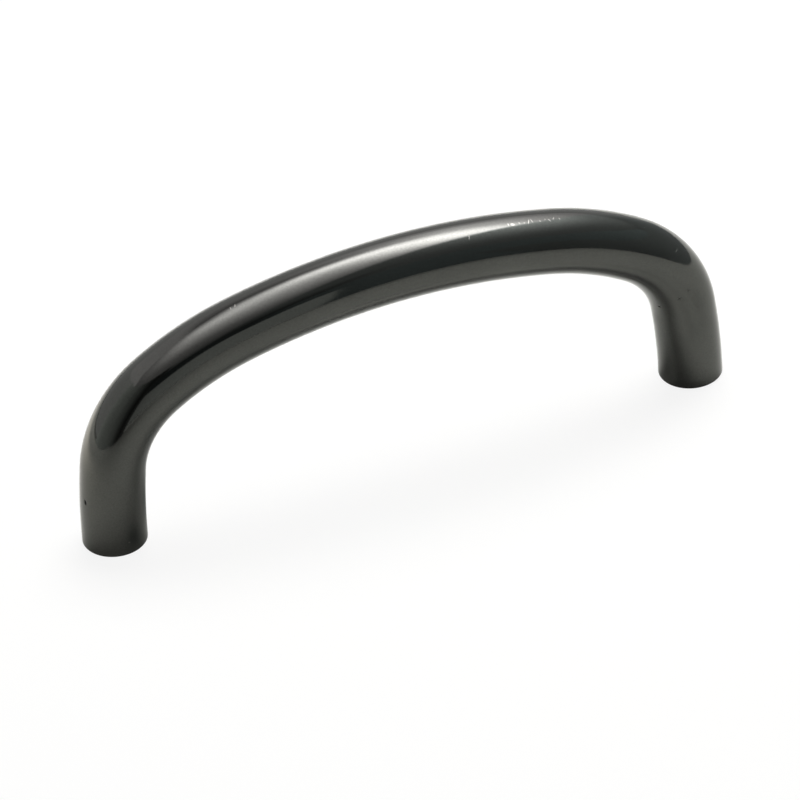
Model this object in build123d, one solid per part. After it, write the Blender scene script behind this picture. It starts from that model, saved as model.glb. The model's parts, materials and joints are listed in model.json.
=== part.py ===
from build123d import *
import os
from math import cos, radians, sin, tan

# Arch pull for a cabinet door or drawer: one round bar, bowed over a finger gap.
# The bar stands on the mounting face, Z = 0, with the arch in the XZ plane and X = 0 midway between its feet.
# From each foot to the top the centreline makes a quarter turn in four tangent arcs:
# a leg that leans in a little, a tight corner, an easing shoulder and half of the shallow crown.

# Driving dimensions, in millimetres and degrees
hole_spacing = 76.2      # between the two screw holes: 3 in
bar_diameter = 8.0       # round bar, 8 mm or 5/16 in nominal
projection = 31.75       # from the mounting face to the top of the grip: 1 1/4 in

corner_radius = 14.0     # bends are measured on the bar's centreline
shoulder_radius = 36.0
leg_turn = 7.0           # how far each arc turns; the corner makes the rest of the quarter turn
shoulder_turn = 19.0
crown_turn = 13.5        # half of the whole crown

foot_rim = 0.25          # rounded rim of each foot

tap_drill = 3.45         # tapping size for a No. 8-32 screw
tap_depth = 9.5          # full-diameter depth of each blind hole
drill_point = 118.0      # included angle of the hole's end
mouth_diameter = 4.4     # countersunk mouth, a little over the screw's outside diameter
mouth_angle = 90.0       # included angle of the countersink


def unit_arc(heading, turn):
    """Run and rise of an arc of radius 1 that starts at a heading above level and turns down from it."""
    before = radians(heading)
    after = radians(heading - turn)
    return sin(before) - sin(after), cos(after) - cos(before)


def arch_bends():
    """Radius and turn of each bend in order, from the left foot to the right one."""
    corner_turn = 90 - leg_turn - shoulder_turn - crown_turn
    corner_heading = 90 - leg_turn
    shoulder_heading = crown_turn + shoulder_turn
    leg_run, leg_rise = unit_arc(90, leg_turn)
    corner_run, corner_rise = unit_arc(corner_heading, corner_turn)
    shoulder_run, shoulder_rise = unit_arc(shoulder_heading, shoulder_turn)
    crown_run, crown_rise = unit_arc(crown_turn, crown_turn)

    # Corner and shoulder have set radii. The leg and the crown take up what is left,
    # so that the feet keep their spacing and the top keeps its projection.
    run_left = hole_spacing / 2 - corner_radius * corner_run - shoulder_radius * shoulder_run
    top_of_centreline = projection - bar_diameter / 2
    rise_left = top_of_centreline - corner_radius * corner_rise - shoulder_radius * shoulder_rise
    share = leg_run * crown_rise - crown_run * leg_rise
    leg_radius = (run_left * crown_rise - crown_run * rise_left) / share
    crown_radius = (leg_run * rise_left - run_left * leg_rise) / share

    up = [(leg_radius, leg_turn), (corner_radius, corner_turn), (shoulder_radius, shoulder_turn)]
    return up + [(crown_radius, 2 * crown_turn)] + up[::-1]


def arch_centreline():
    """The bends joined end to end, each starting in the direction that the last one ends in."""
    point = (-hole_spacing / 2, 0)
    direction = (0, 1)
    line = Curve()
    for radius, turn in arch_bends():
        bend = JernArc(point, direction, radius, -turn)
        line += bend
        point = bend @ 1
        direction = bend % 1
    return Plane.XZ * line


def bent_bar():
    """The solid bar along the arch, with the rim of each foot rounded."""
    section = Pos(-hole_spacing / 2, 0) * Circle(bar_diameter / 2)
    bar = sweep(section, path=arch_centreline())
    rims = bar.edges().group_by(Axis.Z)[0]
    return fillet(rims, foot_rim)


def screw_hole():
    """Space of one tapped hole: countersunk mouth at the origin, drilled wall, and drill point above."""
    wall = tap_drill / 2
    mouth = mouth_diameter / 2
    mouth_depth = (mouth - wall) / tan(radians(mouth_angle / 2))
    point_height = wall / tan(radians(drill_point / 2))
    outline = Polyline(
        (0, 0),
        (mouth, 0),
        (wall, mouth_depth),
        (wall, tap_depth),
        (0, tap_depth + point_height),
        close=True,
    )
    return revolve(Plane.XZ * make_face(outline), Axis.Z)


def pull_bar():
    """The bar with a hole drilled straight up into the middle of each foot."""
    bar = bent_bar()
    for side in (-1, 1):
        bar -= Pos(side * hole_spacing / 2, 0, 0) * screw_hole()
    return bar


os.makedirs("parts", exist_ok=True)
export_step(pull_bar(), "parts/pull_bar.step")
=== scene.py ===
import json
import math

import bmesh
import bpy
from mathutils import Matrix, Vector


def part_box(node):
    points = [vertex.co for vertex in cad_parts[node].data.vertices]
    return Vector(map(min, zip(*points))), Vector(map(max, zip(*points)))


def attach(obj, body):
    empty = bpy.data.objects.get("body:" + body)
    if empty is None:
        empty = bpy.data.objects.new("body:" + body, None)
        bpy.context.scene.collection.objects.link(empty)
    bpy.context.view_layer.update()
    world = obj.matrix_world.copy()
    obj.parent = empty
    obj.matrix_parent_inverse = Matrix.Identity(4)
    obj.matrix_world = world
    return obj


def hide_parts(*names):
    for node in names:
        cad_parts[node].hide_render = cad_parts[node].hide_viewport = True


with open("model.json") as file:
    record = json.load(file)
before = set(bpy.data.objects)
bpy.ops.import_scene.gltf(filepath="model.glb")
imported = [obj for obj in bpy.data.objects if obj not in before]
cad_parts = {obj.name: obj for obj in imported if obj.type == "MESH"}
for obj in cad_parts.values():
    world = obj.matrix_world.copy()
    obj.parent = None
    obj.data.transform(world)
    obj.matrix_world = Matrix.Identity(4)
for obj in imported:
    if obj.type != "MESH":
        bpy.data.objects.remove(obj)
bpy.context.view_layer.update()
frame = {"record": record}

# Arch pull for a cabinet door: one round bar bowed over a finger gap, plated in black nickel.
# Metres throughout. The feet stand on Z = 0 and the arch lies in the XZ plane.

barLow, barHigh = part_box("pull_bar")
barRadius = (barHigh.y - barLow.y) / 2
mmPerMetre = 1000
screwMount = next(mount for mount in frame["record"]["mounts"] if mount["name"] == "screw_holes")
holeSpacing = screwMount["dims"]["spacing_x_mm"] / mmPerMetre
holeRadius = screwMount["dims"]["hole_r_mm"] / mmPerMetre


# node helpers

class Field:
    # a number that varies over a surface, so that a rule reads as a plain sum
    def __init__(self, tree, socket):
        self.tree = tree
        self.socket = socket

    def __add__(self, other):
        return calc(self.tree, "ADD", self, other)

    def __sub__(self, other):
        return calc(self.tree, "SUBTRACT", self, other)

    def __mul__(self, other):
        return calc(self.tree, "MULTIPLY", self, other)

    def __truediv__(self, other):
        return calc(self.tree, "DIVIDE", self, other)

    def __rsub__(self, other):
        return calc(self.tree, "SUBTRACT", other, self)

    def __radd__(self, other):
        return calc(self.tree, "ADD", other, self)

    def __neg__(self):
        return calc(self.tree, "MULTIPLY", self, -1.0)


def addNode(tree, kind, **settings):
    node = tree.nodes.new(kind)
    for name, value in settings.items():
        setattr(node, name, value)
    return node


def plug(tree, source, socket):
    # a field or socket is linked, anything else is the socket's own value
    if isinstance(source, Field):
        source = source.socket
    if isinstance(source, bpy.types.NodeSocket):
        tree.links.new(source, socket)
    else:
        socket.default_value = source


def calc(tree, operation, *terms):
    node = addNode(tree, "ShaderNodeMath", operation=operation)
    for term, socket in zip(terms, node.inputs):
        plug(tree, term, socket)
    return Field(tree, node.outputs["Value"])


def of(operation, field):
    return calc(field.tree, operation, field)


def between(field, lowest, highest):
    node = addNode(field.tree, "ShaderNodeClamp")
    plug(field.tree, field, node.inputs["Value"])
    plug(field.tree, lowest, node.inputs["Min"])
    plug(field.tree, highest, node.inputs["Max"])
    return Field(field.tree, node.outputs["Result"])


def point(tree, x, y, z):
    node = addNode(tree, "ShaderNodeCombineXYZ")
    for value, socket in zip((x, y, z), node.inputs):
        plug(tree, value, socket)
    return node.outputs["Vector"]


def parts(tree, vector):
    node = addNode(tree, "ShaderNodeSeparateXYZ")
    plug(tree, vector, node.inputs["Vector"])
    return [Field(tree, socket) for socket in node.outputs]


def groupInputs(tree, names):
    for name in names:
        tree.interface.new_socket(name, in_out="INPUT", socket_type="NodeSocketFloat")
    given = addNode(tree, "NodeGroupInput")
    return {name: Field(tree, given.outputs[name]) for name in names}


# the bar and its feet

pullBar = {
    "cornerRadius": 0.014,    # bends are measured on the bar's centreline
    "shoulderRadius": 0.036,
    "legTurn": 7.0,           # degrees; the corner makes the rest of the quarter turn
    "shoulderTurn": 19.0,
    "crownTurn": 13.5,
    "footRim": 0.00025,
    "rings": 480,
    "sides": 96,
    "rimRows": 8,
    "weldDistance": 0.000001,
    "crispAngle": 35.0,       # degrees; sharper edges of a foot's face stay crisp
    "skinScale": 8.0,         # UV units for each metre of skin
    "skinMiddle": 0.5,        # U at the middle of the bar
    "skinOutside": 0.2,       # V on the outside of the arch
    "skinRim": 0.05,          # U where each part of a foot begins
    "skinFace": 0.15,
    "skinHole": 0.25,
    "skinFoot": 0.5,          # V where all parts of a foot begin
}

screwHole = {
    "mouthRadius": 0.0022,
    "depth": 0.0095,          # at full diameter
    "drillPoint": 118.0,      # included angle of the hole's end, in degrees
    "threadRadius": 0.002083,
    "threadPitch": 0.000794,  # 32 turns to the inch
    "threadDepth": 0.0086,
    "threadAngle": 60.0,      # between the flanks, in degrees
    "threadRoot": 0.125,      # flat root, as a share of the pitch
    "rowsPerTurn": 14,
}


def unitArc(heading, turn):
    # run and rise of an arc of radius 1 that starts at a heading above level and turns down
    before = math.radians(heading)
    after = math.radians(heading - turn)
    return math.sin(before) - math.sin(after), math.cos(after) - math.cos(before)


def solveBends(halfSpacing, topOfCentreline):
    # corner and shoulder have set radii; leg and crown take up the spacing and the height that are left
    cornerRadius = pullBar["cornerRadius"]
    shoulderRadius = pullBar["shoulderRadius"]
    legTurn = pullBar["legTurn"]
    shoulderTurn = pullBar["shoulderTurn"]
    crownTurn = pullBar["crownTurn"]
    upright = 90.0
    shoulderHeading = crownTurn + shoulderTurn
    cornerTurn = upright - legTurn - shoulderHeading
    legRun, legRise = unitArc(upright, legTurn)
    cornerRun, cornerRise = unitArc(upright - legTurn, cornerTurn)
    shoulderRun, shoulderRise = unitArc(shoulderHeading, shoulderTurn)
    crownRun, crownRise = unitArc(crownTurn, crownTurn)
    runLeft = halfSpacing - cornerRadius * cornerRun - shoulderRadius * shoulderRun
    riseLeft = topOfCentreline - cornerRadius * cornerRise - shoulderRadius * shoulderRise
    share = legRun * crownRise - crownRun * legRise
    legRadius = (runLeft * crownRise - crownRun * riseLeft) / share
    crownRadius = (legRun * riseLeft - runLeft * legRise) / share
    return {
        "Leg": (legRadius, math.radians(legTurn)),
        "Corner": (cornerRadius, math.radians(cornerTurn)),
        "Shoulder": (shoulderRadius, math.radians(shoulderTurn)),
        "Crown": (crownRadius, math.radians(crownTurn)),
    }


def makeBendGroup():
    # how far one bend has run, risen and reached when the bar has turned by a given angle
    tree = bpy.data.node_groups.new("barBend", "GeometryNodeTree")
    size = groupInputs(tree, ["Turned", "Start", "Turn", "Radius"])
    end = size["Start"] + size["Turn"]
    here = between(size["Turned"], size["Start"], end)
    results = {
        "End": end,
        "Run": size["Radius"] * (of("COSINE", size["Start"]) - of("COSINE", here)),
        "Rise": size["Radius"] * (of("SINE", here) - of("SINE", size["Start"])),
        "Length": size["Radius"] * (here - size["Start"]),
    }
    for name in results:
        tree.interface.new_socket(name, in_out="OUTPUT", socket_type="NodeSocketFloat")
    given = addNode(tree, "NodeGroupOutput")
    for name, field in results.items():
        plug(tree, field, given.inputs[name])
    return tree


def ruledSurface(tree, rows, columns, place):
    # a grid of rows and columns whose points go where the rule puts them; the rule also gives the UV
    grid = addNode(tree, "GeometryNodeMeshGrid")
    plug(tree, rows + 1, grid.inputs["Vertices X"])
    plug(tree, columns + 1, grid.inputs["Vertices Y"])
    along, around, _ = parts(tree, grid.outputs["UV Map"])
    position, skin = place(along, around)
    store = addNode(tree, "GeometryNodeStoreNamedAttribute", data_type="FLOAT2", domain="CORNER")
    store.inputs["Name"].default_value = "UVMap"
    plug(tree, grid.outputs["Mesh"], store.inputs["Geometry"])
    plug(tree, skin, store.inputs["Value"])
    move = addNode(tree, "GeometryNodeSetPosition")
    plug(tree, store.outputs["Geometry"], move.inputs["Geometry"])
    plug(tree, position, move.inputs["Position"])
    return move.outputs["Geometry"]


def joinAll(tree, surfaces):
    join = addNode(tree, "GeometryNodeJoinGeometry")
    for surface in surfaces:
        plug(tree, surface, join.inputs["Geometry"])
    return join.outputs["Geometry"]


def makeBarSkin(tree, size, bendGroup, bendNames):
    skinScale = pullBar["skinScale"]

    def place(along, around):
        # the pull is the same on both sides of its middle, so the turn is folded there
        turnAtRim = of("ARCSINE", size["Foot Rim"] / size["Leg Radius"])
        turned = turnAtRim + along * (math.pi - turnAtRim * 2)
        pastMiddle = turned - math.pi / 2
        folded = math.pi / 2 - of("ABSOLUTE", pastMiddle)
        run = rise = length = halfLength = start = 0.0
        for name in bendNames:
            bend = addNode(tree, "GeometryNodeGroup", node_tree=bendGroup)
            plug(tree, folded, bend.inputs["Turned"])
            plug(tree, start, bend.inputs["Start"])
            plug(tree, size[name + " Turn"], bend.inputs["Turn"])
            plug(tree, size[name + " Radius"], bend.inputs["Radius"])
            start = Field(tree, bend.outputs["End"])
            run = Field(tree, bend.outputs["Run"]) + run
            rise = Field(tree, bend.outputs["Rise"]) + rise
            length = Field(tree, bend.outputs["Length"]) + length
            halfLength = size[name + " Radius"] * size[name + " Turn"] + halfLength
        side = of("SIGN", pastMiddle)
        tilt = along * math.pi                      # end rings lie level, on the rims of the feet
        angle = (around - 0.5) * (2 * math.pi)      # 0 on the outside of the arch, so its seam lies inside
        outward = of("COSINE", angle) * size["Bar Radius"]
        across = of("SINE", angle) * size["Bar Radius"]
        centreX = side * (size["Hole Spacing"] * 0.5 - run)
        x = centreX - outward * of("COSINE", tilt)
        z = rise + outward * of("SINE", tilt)
        skinAlong = side * (halfLength - length) * skinScale + pullBar["skinMiddle"]
        skinAround = (angle * size["Bar Radius"]) * skinScale + pullBar["skinOutside"]
        return point(tree, x, across, z), point(tree, skinAlong, skinAround, 0.0)

    return ruledSurface(tree, size["Rings"], size["Sides"], place)


def makeFootSkin(tree, size):
    # rim, flat face and tapped hole, each turned about the foot's own upright axis
    skinScale = pullBar["skinScale"]

    def turnedSkin(rows, profile, skinStart):
        def place(along, around):
            radius, height = profile(along, around)
            angle = around * (2 * math.pi)
            position = point(tree, radius * of("COSINE", angle), radius * of("SINE", angle), height)
            skinAlong = along * (size["Bar Radius"] * skinScale) + skinStart
            skinAround = angle * (size["Bar Radius"] * skinScale) + pullBar["skinFoot"]
            return position, point(tree, skinAlong, skinAround, 0.0)
        return ruledSurface(tree, rows, size["Sides"], place)

    def rim(along, around):
        angle = along * (math.pi / 2)
        radius = size["Bar Radius"] - size["Foot Rim"] * (1.0 - of("COSINE", angle))
        return radius, size["Foot Rim"] * (1.0 - of("SINE", angle))

    def face(along, around):
        outer = size["Bar Radius"] - size["Foot Rim"]
        return outer + (size["Mouth Radius"] - outer) * along, 0.0

    def hole(along, around):
        slope = of("TANGENT", size["Drill Point"] * 0.5)
        tip = size["Hole Depth"] + size["Hole Radius"] / slope
        height = tip * along
        turns = height / size["Thread Pitch"] - around
        wave = of("ABSOLUTE", of("FRACT", turns) * 2.0 - 1.0)
        cut = size["Thread Radius"] - size["Hole Radius"]
        flankSlope = math.tan(math.radians(screwHole["threadAngle"] / 2))
        flank = cut * (2 * flankSlope) / size["Thread Pitch"]
        groove = between((flank + screwHole["threadRoot"] - wave) / flank, 0.0, 1.0)
        runOut = between((size["Thread Depth"] - height) / size["Thread Pitch"], 0.0, 1.0)
        wall = size["Hole Radius"] + cut * groove * runOut
        countersunk = calc(tree, "MAXIMUM", wall, size["Mouth Radius"] - height)
        return calc(tree, "MINIMUM", countersunk, (tip - height) * slope), height

    surfaces = [
        turnedSkin(size["Rim Rows"], rim, pullBar["skinRim"]),
        turnedSkin(size["Rim Rows"] * 0.5, face, pullBar["skinFace"]),
        turnedSkin(size["Hole Rows"], hole, pullBar["skinHole"]),
    ]
    return joinAll(tree, surfaces)


def makePullTree(sizes, bendNames, material):
    tree = bpy.data.node_groups.new("archPullRule", "GeometryNodeTree")
    tree.is_modifier = True
    size = groupInputs(tree, sizes)
    tree.interface.new_socket("Pull", in_out="OUTPUT", socket_type="NodeSocketGeometry")
    barSkin = makeBarSkin(tree, size, makeBendGroup(), bendNames)

    places = addNode(tree, "GeometryNodePoints")
    places.inputs["Count"].default_value = 2
    index = Field(tree, addNode(tree, "GeometryNodeInputIndex").outputs["Index"])
    plug(tree, point(tree, (index - 0.5) * size["Hole Spacing"], 0.0, 0.0), places.inputs["Position"])
    feet = addNode(tree, "GeometryNodeInstanceOnPoints")
    plug(tree, places.outputs["Geometry"], feet.inputs["Points"])
    plug(tree, makeFootSkin(tree, size), feet.inputs["Instance"])

    whole = joinAll(tree, [barSkin, feet.outputs["Instances"]])
    realize = addNode(tree, "GeometryNodeRealizeInstances")
    plug(tree, whole, realize.inputs["Geometry"])
    weld = addNode(tree, "GeometryNodeMergeByDistance")
    plug(tree, realize.outputs["Geometry"], weld.inputs["Geometry"])
    weld.inputs["Distance"].default_value = pullBar["weldDistance"]
    finish = addNode(tree, "GeometryNodeSetMaterial")
    plug(tree, weld.outputs["Geometry"], finish.inputs["Geometry"])
    finish.inputs["Material"].default_value = material
    result = addNode(tree, "NodeGroupOutput")
    plug(tree, finish.outputs["Geometry"], result.inputs["Pull"])
    return tree


def closeAndSmooth(mesh):
    # faces outward, everything smooth apart from the crisp edge round each hole's mouth
    work = bmesh.new()
    work.from_mesh(mesh)
    bmesh.ops.recalc_face_normals(work, faces=work.faces)
    crispAngle = math.radians(pullBar["crispAngle"])
    for face in work.faces:
        face.smooth = True
    for edge in work.edges:
        onFoot = max(vert.co.z for vert in edge.verts) < pullBar["weldDistance"]
        edge.smooth = not (onFoot and edge.calc_face_angle(0.0) > crispAngle)
    openEdges = sum(1 for edge in work.edges if not edge.is_manifold)
    volume = work.calc_volume(signed=True)
    work.to_mesh(mesh)
    work.free()
    return openEdges, volume


def makePull(material):
    bends = solveBends(holeSpacing / 2, barHigh.z - barRadius)
    drillPoint = math.radians(screwHole["drillPoint"])
    holeReach = screwHole["depth"] + holeRadius / math.tan(drillPoint / 2)
    sizes = {
        "Hole Spacing": holeSpacing,
        "Bar Radius": barRadius,
        "Foot Rim": pullBar["footRim"],
        "Rings": pullBar["rings"],
        "Sides": pullBar["sides"],
        "Rim Rows": pullBar["rimRows"],
        "Mouth Radius": screwHole["mouthRadius"],
        "Hole Radius": holeRadius,
        "Hole Depth": screwHole["depth"],
        "Drill Point": drillPoint,
        "Thread Radius": screwHole["threadRadius"],
        "Thread Pitch": screwHole["threadPitch"],
        "Thread Depth": screwHole["threadDepth"],
        "Hole Rows": round(holeReach / screwHole["threadPitch"] * screwHole["rowsPerTurn"]),
    }
    for name, (radius, turn) in bends.items():
        sizes[name + " Radius"] = radius
        sizes[name + " Turn"] = turn

    tree = makePullTree(sizes, list(bends), material)
    pull = bpy.data.objects.new("arch_pull", bpy.data.meshes.new("arch_pull"))
    bpy.context.scene.collection.objects.link(pull)
    rule = pull.modifiers.new("archPullRule", "NODES")
    rule.node_group = tree
    for item in tree.interface.items_tree:
        if item.in_out == "INPUT":
            rule[item.identifier] = float(sizes[item.name])
    evaluated = pull.evaluated_get(bpy.context.evaluated_depsgraph_get())
    mesh = bpy.data.meshes.new_from_object(evaluated)
    pull.modifiers.remove(rule)
    pull.data = mesh
    mesh.name = "arch_pull"
    openEdges, volume = closeAndSmooth(mesh)
    mesh.calc_loop_triangles()
    triangles = len(mesh.loop_triangles)
    volumeInMm = round(volume * mmPerMetre ** 3)
    print("pull:", triangles, "triangles,", openEdges, "open edges,", volumeInMm, "cubic mm")
    return pull


# black nickel plate

nickelPlate = {
    "tone": (0.0712, 0.0726, 0.0677),
    "bareMetal": (0.42, 0.41, 0.38),   # shows where the plate is scratched through
    "edgeShine": 0.88,                 # share of full gloss left at grazing angles
    "roughness": 0.085,
    "smoothest": 0.03,
    "dullest": 0.6,
    "cloudScale": 160.0,               # patterns are counted per metre
    "cloudDetail": 3.0,
    "cloudTone": 0.20,
    "cloudHaze": 0.08,
    "grainScale": 5200.0,
    "grainTone": 0.5,
    "grainHaze": 0.06,
    "ripple": 0.0000050,               # heights of the relief, in metres
    "rippleScale": 420.0,
    "polishLine": 0.00000022,
    "polishLineScale": 5500.0,
    "polishLineStretch": 0.03,
    "fineDetail": 2.0,                 # of grain, ripple and polishing lines
}

# marks lie along the bar from its middle and around it from the outside of the arch, in metres and degrees
wearMarks = [
    {"kind": "pit", "along": -0.0482, "around": -15.9, "size": (0.00030, 0.00022), "turn": 10.0},
    {"kind": "pit", "along": 0.0413, "around": -148.5, "size": (0.00015, 0.00020), "turn": 0.0},
    {"kind": "stain", "along": 0.0403, "around": -103.5, "size": (0.00022, 0.00026), "turn": 30.0},
    {"kind": "stain", "along": 0.0400, "around": -82.5, "size": (0.00014, 0.00016), "turn": 0.0},
    {"kind": "scratch", "along": -0.0534, "around": -97.5, "size": (0.00009, 0.00012), "turn": 0.0},
    {"kind": "scratch", "along": -0.0197, "around": -8.5, "size": (0.00006, 0.00024), "turn": -25.0},
    {"kind": "scratch", "along": -0.0203, "around": -10.0, "size": (0.00005, 0.00020), "turn": -10.0},
    {"kind": "scratch", "along": 0.0356, "around": -41.7, "size": (0.00007, 0.00032), "turn": -20.0},
    {"kind": "scratch", "along": 0.0089, "around": -30.6, "size": (0.00006, 0.00030), "turn": -10.0},
    {"kind": "scratch", "along": 0.0141, "around": -17.5, "size": (0.00006, 0.00018), "turn": 8.0},
    {"kind": "scratch", "along": 0.0146, "around": -18.5, "size": (0.00022, 0.00016), "turn": -14.0},
    {"kind": "scratch", "along": 0.0155, "around": -17.0, "size": (0.00004, 0.00012), "turn": 25.0},
    {"kind": "scratch", "along": 0.0161, "around": -18.0, "size": (0.00004, 0.00010), "turn": -30.0},
    {"kind": "scratch", "along": 0.0167, "around": -16.0, "size": (0.00006, 0.00034), "turn": -24.0},
    {"kind": "scratch", "along": 0.0171, "around": -15.0, "size": (0.00005, 0.00025), "turn": 15.0},
    {"kind": "scratch", "along": 0.0181, "around": -17.5, "size": (0.00004, 0.00011), "turn": 40.0},
    {"kind": "scratch", "along": 0.0188, "around": -15.0, "size": (0.00004, 0.00012), "turn": -15.0},
    {"kind": "scratch", "along": 0.0193, "around": -17.0, "size": (0.00005, 0.00022), "turn": 30.0},
    {"kind": "scratch", "along": 0.0199, "around": -14.0, "size": (0.00006, 0.00020), "turn": -35.0},
    {"kind": "scratch", "along": 0.0206, "around": -15.5, "size": (0.00005, 0.00016), "turn": 12.0},
]

markEnd = 1.5   # a mark fades out over one size, up to this many sizes from its middle

# shares of bare metal and of dark non-metal (painted shade in the pits, dirt in the stains), of the tone
# lost and of roughness gained, and a depth in metres
markEffects = {
    # a pit's dark, dull colour is painted shade in its hollow; its depth is real relief
    "pit": {"bare": 0.0, "pitShadeAndDirt": 0.9, "dark": 0.85, "haze": 0.15, "depth": 0.00004},
    "stain": {"bare": 0.0, "pitShadeAndDirt": 0.28, "dark": 0.2, "haze": 0.05, "depth": 0.000002},
    "scratch": {"bare": 0.28, "pitShadeAndDirt": 0.0, "dark": 0.0, "haze": 0.18, "depth": 0.000003},
}


def noise(tree, vector, scale, detail):
    # gives about -0.3 to 0.3
    node = addNode(tree, "ShaderNodeTexNoise")
    plug(tree, vector, node.inputs["Vector"])
    node.inputs["Scale"].default_value = scale
    node.inputs["Detail"].default_value = detail
    return Field(tree, node.outputs["Fac"]) - 0.5


def markShares(tree, alongBar, aroundBar):
    # how much of each kind of mark there is at a place on the bar; both measures are in metres
    shares = {}
    for mark in wearMarks:
        turn = math.radians(mark["turn"])
        fromAlong = alongBar - mark["along"]
        fromAround = aroundBar - math.radians(mark["around"]) * barRadius
        wide = (fromAlong * math.cos(turn) + fromAround * math.sin(turn)) / mark["size"][0]
        tall = (fromAround * math.cos(turn) - fromAlong * math.sin(turn)) / mark["size"][1]
        share = between(markEnd - of("SQRT", wide * wide + tall * tall), 0.0, 1.0)
        kind = mark["kind"]
        shares[kind] = calc(tree, "MAXIMUM", share, shares[kind]) if kind in shares else share
    return shares


def opaque(tone):
    # a plain tone gets its alpha, a socket stays as it is
    return (*tone, 1.0) if isinstance(tone, tuple) else tone


def mixTone(tree, share, first, second):
    node = addNode(tree, "ShaderNodeMix", data_type="RGBA")
    plug(tree, share, node.inputs["Factor"])
    for tone, name in ((first, "A_Color"), (second, "B_Color")):
        socket = next(each for each in node.inputs if each.identifier == name)
        plug(tree, opaque(tone), socket)
    return next(each for each in node.outputs if each.identifier == "Result_Color")


def makeNickelPlate():
    material = bpy.data.materials.new("blackNickelPlate")
    material.use_nodes = True
    tree = material.node_tree
    shader = tree.nodes["Principled BSDF"]
    shader.inputs["Specular IOR Level"].default_value = 0.0   # the painted shade in the pits and the dirt in the stains have no gloss of their own
    edgeShine = nickelPlate["edgeShine"]
    shader.inputs["Specular Tint"].default_value = (edgeShine, edgeShine, edgeShine, 1.0)

    place = addNode(tree, "ShaderNodeTexCoord")
    cloud = noise(tree, place.outputs["Object"], nickelPlate["cloudScale"], nickelPlate["cloudDetail"])
    grain = noise(tree, place.outputs["Object"], nickelPlate["grainScale"], nickelPlate["fineDetail"])
    ripple = noise(tree, place.outputs["Object"], nickelPlate["rippleScale"], nickelPlate["fineDetail"])
    skinAlong, skinAround, _ = parts(tree, place.outputs["UV"])
    alongBar = (skinAlong - pullBar["skinMiddle"]) / pullBar["skinScale"]
    aroundBar = (skinAround - pullBar["skinOutside"]) / pullBar["skinScale"]
    stretched = point(tree, alongBar * nickelPlate["polishLineStretch"], aroundBar, 0.0)
    lines = noise(tree, stretched, nickelPlate["polishLineScale"], nickelPlate["fineDetail"])
    shares = markShares(tree, alongBar, aroundBar)
    effects = {}
    for effect in ("bare", "pitShadeAndDirt", "dark", "haze", "depth"):
        effects[effect] = sum(shares[kind] * markEffects[kind][effect] for kind in shares)

    # tone: slow clouds and a fine grain over the plate, darker in the pits with painted shade, bright in the
    # scratches
    shade = cloud * nickelPlate["cloudTone"] + grain * nickelPlate["grainTone"] + 1.0
    shade = shade * (1.0 - effects["dark"])
    light = addNode(tree, "ShaderNodeVectorMath", operation="SCALE")
    light.inputs[0].default_value = nickelPlate["tone"]
    plug(tree, shade, light.inputs["Scale"])
    tone = mixTone(tree, effects["bare"], light.outputs["Vector"], nickelPlate["bareMetal"])
    plug(tree, tone, shader.inputs["Base Color"])
    plug(tree, 1.0 - effects["pitShadeAndDirt"], shader.inputs["Metallic"])

    # polish: a little duller in clouds and grain, rough in the marks
    haze = cloud * nickelPlate["cloudHaze"] + grain * nickelPlate["grainHaze"] + effects["haze"]
    roughness = between(haze + nickelPlate["roughness"], nickelPlate["smoothest"], nickelPlate["dullest"])
    plug(tree, roughness, shader.inputs["Roughness"])

    # relief: soft ripple of the bent bar, polishing lines along it, and the marks cut into it
    height = ripple * nickelPlate["ripple"] + lines * nickelPlate["polishLine"] - effects["depth"]
    bump = addNode(tree, "ShaderNodeBump")
    bump.inputs["Distance"].default_value = 1.0   # heights are metres already
    plug(tree, height, bump.inputs["Height"])
    plug(tree, bump.outputs["Normal"], shader.inputs["Normal"])
    print("black nickel:", len(wearMarks), "wear marks,", len(tree.nodes), "nodes")
    return material


# studio: pale floor, one softbox overhead, and glowing cards that only the polished metal sees; they paint
# the light and surroundings reflected in it

oneFace = [(0, 1, 2, 3)]   # of a piece with four corners


def levelCorners(width, depth, height):
    left, right = width
    front, back = depth
    return [(left, front, height), (right, front, height), (right, back, height), (left, back, height)]


def addStagePiece(name, corners, faces, material):
    mesh = bpy.data.meshes.new(name)
    mesh.from_pydata(corners, [], faces)
    mesh.materials.append(material)
    piece = bpy.data.objects.new(name, mesh)
    bpy.context.scene.collection.objects.link(piece)
    return piece


def lightPathShare(tree, camera, glossy, transmission):
    path = addNode(tree, "ShaderNodeLightPath")
    share = Field(tree, path.outputs["Is Camera Ray"]) * camera
    share = share + Field(tree, path.outputs["Is Glossy Ray"]) * glossy
    return share + Field(tree, path.outputs["Is Transmission Ray"]) * transmission


def glowing(tree, tint, glow):
    emission = addNode(tree, "ShaderNodeEmission")
    plug(tree, opaque(tint), emission.inputs["Color"])
    plug(tree, glow, emission.inputs["Strength"])
    return emission.outputs["Emission"]


def layOver(tree, cover, under, over):
    mix = addNode(tree, "ShaderNodeMixShader")
    plug(tree, cover, mix.inputs["Fac"])
    plug(tree, under, mix.inputs[1])
    plug(tree, over, mix.inputs[2])
    return mix.outputs["Shader"]


def softOval(x, y, oval):
    # 1 in the middle of an oval, fading out over its reach
    across = (x - oval["at"][0]) / oval["reach"][0]
    along = (y - oval["at"][1]) / oval["reach"][1]
    return of("EXPONENT", -(across * across + along * along))


def makeCard(name, corners, faces, shade):
    # shade is a rule that gives the card's shader at a place on it, in metres
    material = bpy.data.materials.new(name)
    material.use_nodes = True
    tree = material.node_tree
    tree.nodes.remove(tree.nodes["Principled BSDF"])
    x, y, _ = parts(tree, addNode(tree, "ShaderNodeTexCoord").outputs["Object"])
    plug(tree, shade(tree, x, y), tree.nodes["Material Output"].inputs["Surface"])
    card = addStagePiece(name, corners, faces, material)
    card.visible_camera = False
    card.visible_diffuse = False
    card.visible_transmission = False
    card.visible_shadow = False
    return card


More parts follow.
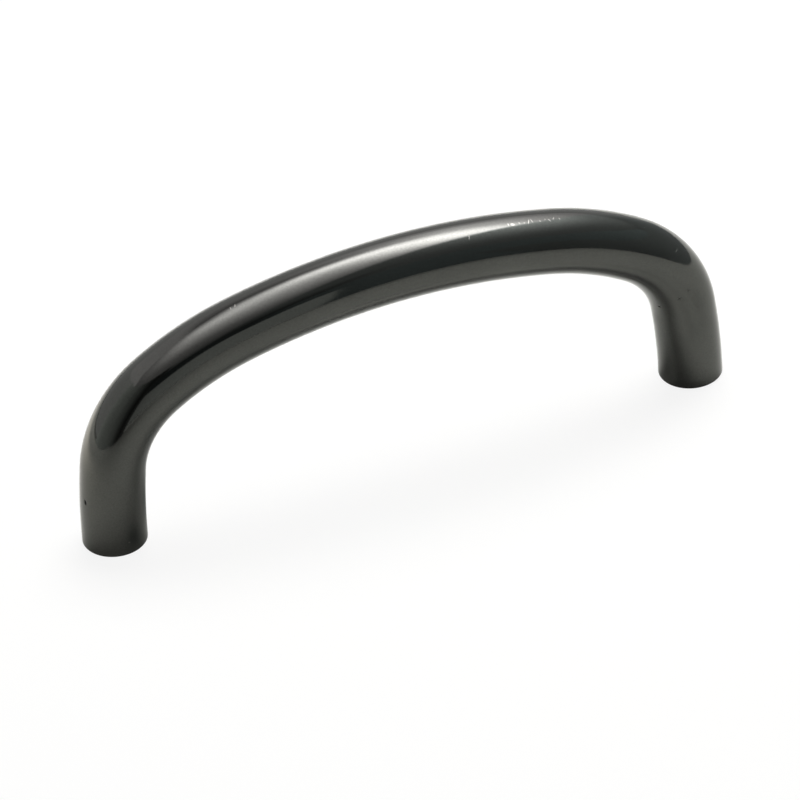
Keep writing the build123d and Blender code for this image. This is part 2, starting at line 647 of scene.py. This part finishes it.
studio = {
    "floorColour": (0.875, 0.875, 0.835),
    "floorWidth": (-1.0, 1.0),
    "floorDepth": (-0.55, 1.2),
    "floorDrop": 0.00002,       # keeps the floor just clear of the feet
    "patchCardHeight": 0.0001,
    "floorWhite": 0.88,         # share of plain white that the camera sees
    "floorWhiteInMetal": 0.05,
    "skyOnFloor": 0.12,
    "skyInMetal": 0.86,
}


def makeSky():
    world = bpy.data.worlds.new("studioSky")
    bpy.context.scene.world = world
    world.use_nodes = True
    tree = world.node_tree
    background = tree.nodes["Background"]
    background.inputs["Color"].default_value = opaque((1.0, 1.0, 1.0))
    low = studio["skyOnFloor"]
    share = lightPathShare(tree, 1.0 - low, studio["skyInMetal"] - low, 1.0 - low) + low
    plug(tree, share, background.inputs["Strength"])


def makeFloor():
    material = bpy.data.materials.new("paleFloor")
    material.use_nodes = True
    tree = material.node_tree
    tree.nodes.remove(tree.nodes["Principled BSDF"])
    diffuse = addNode(tree, "ShaderNodeBsdfDiffuse")
    diffuse.inputs["Color"].default_value = opaque(studio["floorColour"])
    white = glowing(tree, (1.0, 1.0, 1.0), 1.0)
    share = lightPathShare(tree, studio["floorWhite"], studio["floorWhiteInMetal"], studio["floorWhite"])
    surface = layOver(tree, share, diffuse.outputs["BSDF"], white)
    # from below it is clear, and right under each foot, so that the feet can be looked at
    clear = addNode(tree, "ShaderNodeBsdfTransparent")
    side = addNode(tree, "ShaderNodeNewGeometry")
    x, y, _ = parts(tree, addNode(tree, "ShaderNodeTexCoord").outputs["Object"])
    fromFoot = of("ABSOLUTE", x) - holeSpacing / 2
    footRadius = barRadius - pullBar["footRim"]
    underFoot = calc(tree, "LESS_THAN", of("SQRT", fromFoot * fromFoot + y * y), footRadius)
    isClear = calc(tree, "MAXIMUM", side.outputs["Backfacing"], underFoot)
    surface = layOver(tree, isClear, surface, clear.outputs["BSDF"])
    plug(tree, surface, tree.nodes["Material Output"].inputs["Surface"])
    corners = levelCorners(studio["floorWidth"], studio["floorDepth"], -studio["floorDrop"])
    addStagePiece("floor", corners, oneFace, material)


softbox = {
    "at": (0.14, 0.165, 0.5),
    "turn": 53.0,               # degrees about Z
    "side": 0.31,
    "glow": 11.0,
    "wattsPerGlow": 4.0,        # for each square metre
}


def makeSoftbox():
    # lights the floor; the metal sees the glowing sheet just above it instead
    lamp = bpy.data.lights.new("softbox", "AREA")
    lamp.shape = "SQUARE"
    lamp.size = softbox["side"]
    lamp.energy = softbox["glow"] * softbox["wattsPerGlow"] * softbox["side"] ** 2
    piece = bpy.data.objects.new("softbox", lamp)
    piece.location = softbox["at"]
    piece.rotation_euler = (0.0, 0.0, math.radians(softbox["turn"]))
    piece.visible_camera = False
    piece.visible_glossy = False
    bpy.context.scene.collection.objects.link(piece)


sheet = {
    "height": 0.53,
    "left": -0.6,
    "right": 1.2,
    "front": -0.68,
    "frontFade": 0.28,
    "frontGlow": 0.25,            # share of the glow left at the front, in its left half
    "frontDarkEnd": -0.02,        # to the right of it the front gets lighter again
    "frontDarkSoft": 0.22,
    "back": 1.0,
    "litTint": (1.0, 0.97, 0.99),
    "dimTint": (0.95, 1.0, 1.005),
    "glow": 0.39,
    "rightEdgeAt": (0.249, 0.0),  # a point on each of the straight edges of the lit part
    "rightEdgeTurn": 54.0,
    "rightEdgeSoft": 0.035,
    "beyondRight": 0.27,
    "backEdgeAt": (0.0, 0.485),
    "backEdgeTurn": 43.7,
    "backEdgeSoft": 0.03,
    "beyondBack": 1.1,
    "backShade": 0.38,            # share of the glow lost just behind the back edge
    "backShadeLeft": 0.66,        # the same, farther left
    "backShadeChange": (-0.05, 0.10),
    "backShadeEnd": (-0.27, -0.19),
    "backShadeReach": 0.19,
}

# glowing patches on the sheet; those marked inside end at the edges of its lit part
sheetSpots = [
    {"at": (0.25, 0.104), "reach": (0.148, 0.15), "glow": 10.6, "inside": True},
    {"at": (0.095, 0.24), "reach": (0.14, 0.115), "glow": 8.5, "inside": True},
    {"at": (-0.11, 0.118), "reach": (0.15, 0.13), "glow": 3.5, "inside": True},
    {"at": (-0.075, -0.057), "reach": (0.285, 0.175), "glow": 1.35, "inside": True},
    {"at": (-0.28, 0.0), "reach": (0.09, 0.12), "glow": 0.35, "inside": True},
    {"at": (0.29, 0.34), "reach": (0.165, 0.355), "glow": 3.8, "inside": False},
    {"at": (0.495, 0.445), "reach": (0.16, 0.345), "glow": 1.2, "inside": False},
    {"at": (0.715, 0.86), "reach": (0.345, 0.655), "glow": 1.1, "inside": False},
    {"at": (0.60, -0.33), "reach": (0.32, 0.30), "glow": 0.08, "inside": False},
]


def makeSheet():
    def leftOf(x, y, edge):
        # metres to the left of an edge, as seen along the way that it is turned
        turn = math.radians(sheet[edge + "Turn"])
        edgeX, edgeY = sheet[edge + "At"]
        return (y - edgeY) * math.cos(turn) - (x - edgeX) * math.sin(turn)

    def beforeSpan(x, span):
        # 1 to the left of a span, falling to 0 at its right end
        begin, end = sheet[span]
        return between((end - x) / (end - begin), 0.0, 1.0)

    def litShares(x, y):
        # inside the right edge, inside the back edge, and how much of the glow is left towards the front
        inRight = between(leftOf(x, y, "rightEdge") / sheet["rightEdgeSoft"] + 0.5, 0.0, 1.0)
        inBack = between(0.5 - leftOf(x, y, "backEdge") / sheet["backEdgeSoft"], 0.0, 1.0)
        front = between((y - sheet["front"]) / sheet["frontFade"], 0.0, 1.0)
        lowest = between((x - sheet["frontDarkEnd"]) / sheet["frontDarkSoft"], sheet["frontGlow"], 1.0)
        return inRight, inBack, calc(x.tree, "MAXIMUM", front, lowest)

    def shade(tree, x, y):
        inRight, inBack, front = litShares(x, y)
        tint = mixTone(tree, (1.0 - inRight * front) * inBack, sheet["litTint"], sheet["dimTint"])
        outPastBack = calc(tree, "MAXIMUM", leftOf(x, y, "backEdge"), 0.0)
        toLeft = beforeSpan(x, "backShadeChange")
        depth = toLeft * (sheet["backShadeLeft"] - sheet["backShade"]) + sheet["backShade"]
        depth = depth * (1.0 - beforeSpan(x, "backShadeEnd"))
        lost = of("EXPONENT", -outPastBack / sheet["backShadeReach"]) * depth
        behind = (1.0 - lost) * sheet["beyondBack"]
        total = inRight * (sheet["glow"] - sheet["beyondRight"]) + sheet["beyondRight"]
        total = inBack * total + (1.0 - inBack) * behind
        for spot in sheetSpots:
            fade = softOval(x, y, spot) * spot["glow"]
            total = total + (fade * inRight * inBack if spot["inside"] else fade)
        return glowing(tree, tint, total * front)

    corners = levelCorners((sheet["left"], sheet["right"]), (sheet["front"], sheet["back"]), sheet["height"])
    makeCard("diffuserSheet", corners, oneFace, shade)


# glowing upright screens, seen in the metal alone, paint the surroundings reflected in it; each stands from
# post to post, and a post gives the glow at its foot and at its top
screens = {
    "leftScreen": {
        "tint": (0.95, 1.0, 0.96),
        "posts": [
            {"at": (-0.250, 0.050), "top": 0.225, "glow": (0.95, 0.78)},
            {"at": (-0.200, -0.009), "top": 0.170, "glow": (0.60, 0.58)},
            {"at": (-0.164, -0.052), "top": 0.150, "glow": (0.45, 0.42)},
            {"at": (-0.146, -0.072), "top": 0.145, "glow": (0.33, 0.22)},
            {"at": (-0.131, -0.091), "top": 0.145, "glow": (0.12, 0.11)},
            {"at": (-0.120, -0.103), "top": 0.145, "glow": (0.04, 0.03)},
            {"at": (-0.106, -0.120), "top": 0.153, "glow": (0.12, 0.05)},
        ],
    },
    "farScreen": {
        "tint": (0.86, 1.0, 1.02),
        "posts": [
            {"at": (-0.40, -0.45), "top": 0.45, "glow": (0.05, 0.04)},
            {"at": (-0.02, -0.55), "top": 0.45, "glow": (0.05, 0.075)},
            {"at": (0.06, -0.55), "top": 0.45, "glow": (0.14, 0.175)},
            {"at": (0.15, -0.53), "top": 0.45, "glow": (0.22, 0.26)},
            {"at": (0.30, -0.46), "top": 0.45, "glow": (0.24, 0.31)},
            {"at": (0.45, -0.32), "top": 0.42, "glow": (0.275, 0.39)},
            {"at": (0.53, -0.12), "top": 0.36, "glow": (0.34, 0.50)},
            {"at": (0.55, 0.10), "top": 0.28, "glow": (0.40, 0.60)},
        ],
    },
    "fillCard": {
        "tint": (0.97, 1.0, 0.97),
        "posts": [
            {"at": (-0.30, -0.42), "top": 0.200, "glow": (0.44, 0.40)},
            {"at": (-0.11, -0.42), "top": 0.245, "glow": (0.60, 0.57)},
            {"at": (0.07, -0.42), "top": 0.255, "glow": (0.67, 0.66)},
        ],
    },
    "rightScreen": {
        "tint": (0.93, 1.0, 1.0),
        "posts": [
            {"at": (0.205, -0.44), "top": 0.21, "glow": (0.18, 0.23)},
            {"at": (0.210, -0.31), "top": 0.16, "glow": (0.20, 0.25)},
            {"at": (0.193, -0.20), "top": 0.118, "glow": (0.22, 0.27)},
            {"at": (0.18, -0.13), "top": 0.09, "glow": (0.25, 0.30)},
            {"at": (0.18, 0.00), "top": 0.09, "glow": (0.40, 0.46)},
            {"at": (0.18, 0.12), "top": 0.09, "glow": (0.44, 0.55)},
            {"at": (0.18, 0.17), "top": 0.09, "glow": (0.66, 0.80)},
        ],
    },
}


def makeScreen(name):
    posts = screens[name]["posts"]
    corners = []
    levels = []
    for post in posts:
        x, y = post["at"]
        corners += [(x, y, 0.0), (x, y, post["top"])]
        levels += post["glow"]
    faces = [(2 * step, 2 * step + 2, 2 * step + 3, 2 * step + 1) for step in range(len(posts) - 1)]

    def shade(tree, x, y):
        level = addNode(tree, "ShaderNodeAttribute", attribute_name="glow")
        return glowing(tree, screens[name]["tint"], level.outputs["Fac"])

    screen = makeCard(name, corners, faces, shade)
    screen.data.attributes.new("glow", "FLOAT", "POINT").data.foreach_set("value", levels)


# painted light and painted shade on the floor: glowing soft oval patches just above it, seen in the metal
# alone, that set how bright the floor looks in its reflections; each lies over the one before
paintedFloorLightAndShade = {
    "leftLightPatch": {"at": (-0.20, 0.13), "reach": (0.13, 0.11), "tint": (1.0, 0.98, 0.93), "glow": 1.45},
    "farFloorPatch": {"at": (0.06, -0.34), "reach": (0.10, 0.10), "tint": (1.0, 1.0, 0.95), "glow": 0.66},
    "backLightPatch": {"at": (-0.072, 0.047), "reach": (0.0235, 0.0425), "tint": (1.0, 0.95, 0.86), "glow": 2.65},
    "frontShadePatch": {"at": (-0.073, -0.109), "reach": (0.044, 0.094), "tint": (1.0, 1.0, 0.95), "glow": 0.43},
    "cornerShadePatch": {"at": (-0.125, -0.112), "reach": (0.035, 0.040), "tint": (1.0, 1.0, 0.95), "glow": 0.1},
    "footShadowPatch": {"at": (-0.029, 0.003), "reach": (0.007, 0.006), "tint": (0.95, 1.0, 0.95), "glow": 0.3},
    "heelShadowPatch": {"at": (-0.0348, -0.0055), "reach": (0.003, 0.0025), "tint": (0.95, 1.0, 0.95), "glow": 0.2},
    "gripLightPatch": {"at": (0.006, -0.014), "reach": (0.020, 0.004), "tint": (1.0, 1.0, 0.95), "glow": 1.1},
    "toeShadePatch": {"at": (0.036, -0.0165), "reach": (0.0065, 0.0055), "tint": (1.0, 1.0, 0.95), "glow": 0.93},
    "bendLightPatch": {"at": (0.021, -0.017), "reach": (0.007, 0.007), "tint": (1.0, 1.0, 0.95), "glow": 1.16},
    "outerFloorPatch": {"at": (0.053, -0.021), "reach": (0.012, 0.008), "tint": (1.0, 1.0, 0.95), "glow": 0.95},
    "instepShadowPatch": {"at": (0.0325, -0.0005), "reach": (0.004, 0.0025), "tint": (1.0, 1.0, 0.95), "glow": 0.32},
}


def makePaintedFloorLightAndShade():
    def shade(tree, x, y):
        surface = addNode(tree, "ShaderNodeBsdfTransparent").outputs["BSDF"]
        # each patch's glow stands in for the floor in the reflections: brighter ones are painted light,
        # dimmer ones painted shade and shadow
        for mat in paintedFloorLightAndShade.values():
            surface = layOver(tree, softOval(x, y, mat), surface, glowing(tree, mat["tint"], mat["glow"]))
        return surface

    corners = levelCorners(studio["floorWidth"], studio["floorDepth"], studio["patchCardHeight"])
    makeCard("paintedFloorLightAndShade", corners, oneFace, shade)


# camera

lookOut = {
    "azimuth": -19.44,
    "elevation": 36.59,
    "roll": -4.22,
    "distance": 0.8,
    "lens": 295.34,   # lens and sensor are in millimetres
    "sensor": 36.0,
    "nearest": 0.01,
    "aim": (-0.00033, 0.0, 0.00819),
}


def makeCamera():
    azimuth = math.radians(lookOut["azimuth"])
    elevation = math.radians(lookOut["elevation"])
    flat = math.cos(elevation)
    back = Vector((math.sin(azimuth) * flat, -math.cos(azimuth) * flat, math.sin(elevation)))
    lens = bpy.data.cameras.new("camera")
    lens.sensor_width = lookOut["sensor"]
    lens.lens = lookOut["lens"]
    lens.clip_start = lookOut["nearest"]
    camera = bpy.data.objects.new("camera", lens)
    turn = (-back).to_track_quat("-Z", "Y").to_matrix().to_4x4()
    roll = Matrix.Rotation(math.radians(lookOut["roll"]), 4, "Z")
    spot = Matrix.Translation(Vector(lookOut["aim"]) + back * lookOut["distance"])
    camera.matrix_world = spot @ turn @ roll
    bpy.context.scene.collection.objects.link(camera)
    bpy.context.scene.camera = camera


plate = makeNickelPlate()
pull = makePull(plate)
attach(pull, "root")
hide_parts("pull_bar")

makeSky()
makeFloor()
makeSoftbox()
makeSheet()
for screenName in screens:
    makeScreen(screenName)
makePaintedFloorLightAndShade()
makeCamera()
bpy.context.scene.view_settings.view_transform = "Standard"
print("studio and camera set")
